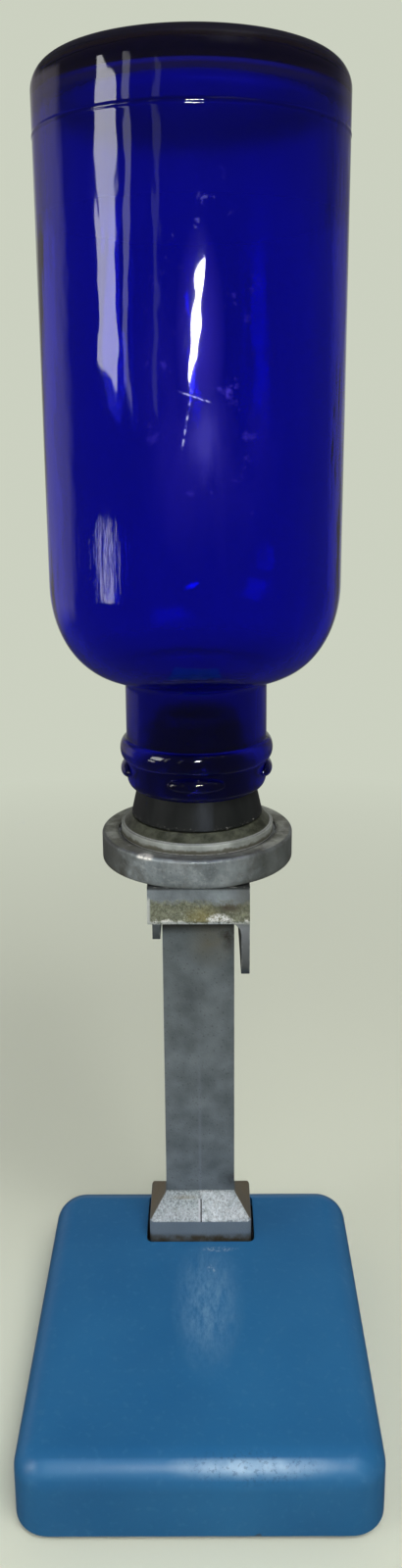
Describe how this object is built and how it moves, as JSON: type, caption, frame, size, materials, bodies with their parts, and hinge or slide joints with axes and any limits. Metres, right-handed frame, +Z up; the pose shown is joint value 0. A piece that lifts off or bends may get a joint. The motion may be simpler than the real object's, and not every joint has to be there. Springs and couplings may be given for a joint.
{
  "type": "powder dispenser",
  "caption": "Counter stand holding an inverted blue glass bottle on a tapered stopper; a thumb trigger under the round head slides a measured dose of powder to a spout",
  "frame": {"origin": "the point of the felt pad's underside under the bottle's axis", "axes": "+Z up along the bottle, +X to the right, -Y to the front where the tumbler stands"},
  "size_m": [0.1014, 0.1278, 0.3802],
  "materials": {
    "blue_glass": "deep blue pressed glass, glossy",
    "black_rubber": "satin hard rubber",
    "brass": "turned or milled",
    "stained_metal": "cast, stained brown",
    "cast_metal": "cast, dull grey",
    "steel": "bright turned steel",
    "blue_paint": "satin enamel, worn at the edges",
    "iron": "rough cast",
    "felt": "dense felt"
  },
  "bodies": {
    "stand": {"stopper": "black_rubber", "feed_tube": "brass", "seat_ring": "stained_metal", "head_disc": "cast_metal", "outlet_plate": "cast_metal", "pivot_pin": "steel", "pivot_washer": "brass", "return_spring": "steel", "spring_screw_lower": "steel", "post": "cast_metal", "base_shell": "blue_paint", "ballast_block": "iron", "bottom_plate": "steel", "felt_pad": "felt", "head_screw_left": "steel", "head_screw_right": "steel", "outlet_screw_front_left": "steel", "outlet_screw_front_right": "steel", "outlet_screw_rear_left": "steel", "outlet_screw_rear_right": "steel", "foot_bolt_left": "steel", "foot_bolt_right": "steel", "plate_screw_front_left": "steel", "plate_screw_front_right": "steel", "plate_screw_back_left": "steel", "plate_screw_back_right": "steel"},
    "trigger": {"trigger_yoke": "cast_metal", "spring_screw_upper": "steel"},
    "slide": {"dose_slide": "brass"},
    "bottle": {"bottle": "blue_glass"}
  },
  "joints": [
    {"name": "trigger_swing", "type": "hinge", "parent": "stand", "child": "trigger", "pos_m": [0, 0.012, 0.141], "axis": [1, 0, 0], "range_deg": [0, 16], "stiffness_Nm_per_rad": 0.12, "springref_deg": -28.65, "deforming": ["return_spring"]},
    {"name": "dose_travel", "type": "slide", "parent": "stand", "child": "slide", "axis": [0, -1, 0], "range_m": [0, 0.00731]},
    {"name": "bottle_lift", "type": "slide", "parent": "stand", "child": "bottle", "axis": [0, 0, 1], "range_m": [0, 0.05]}
  ],
  "couplings": [
    {"joint": "dose_travel", "follows": "trigger_swing", "m_per_rad": 0.026157}
  ]
}
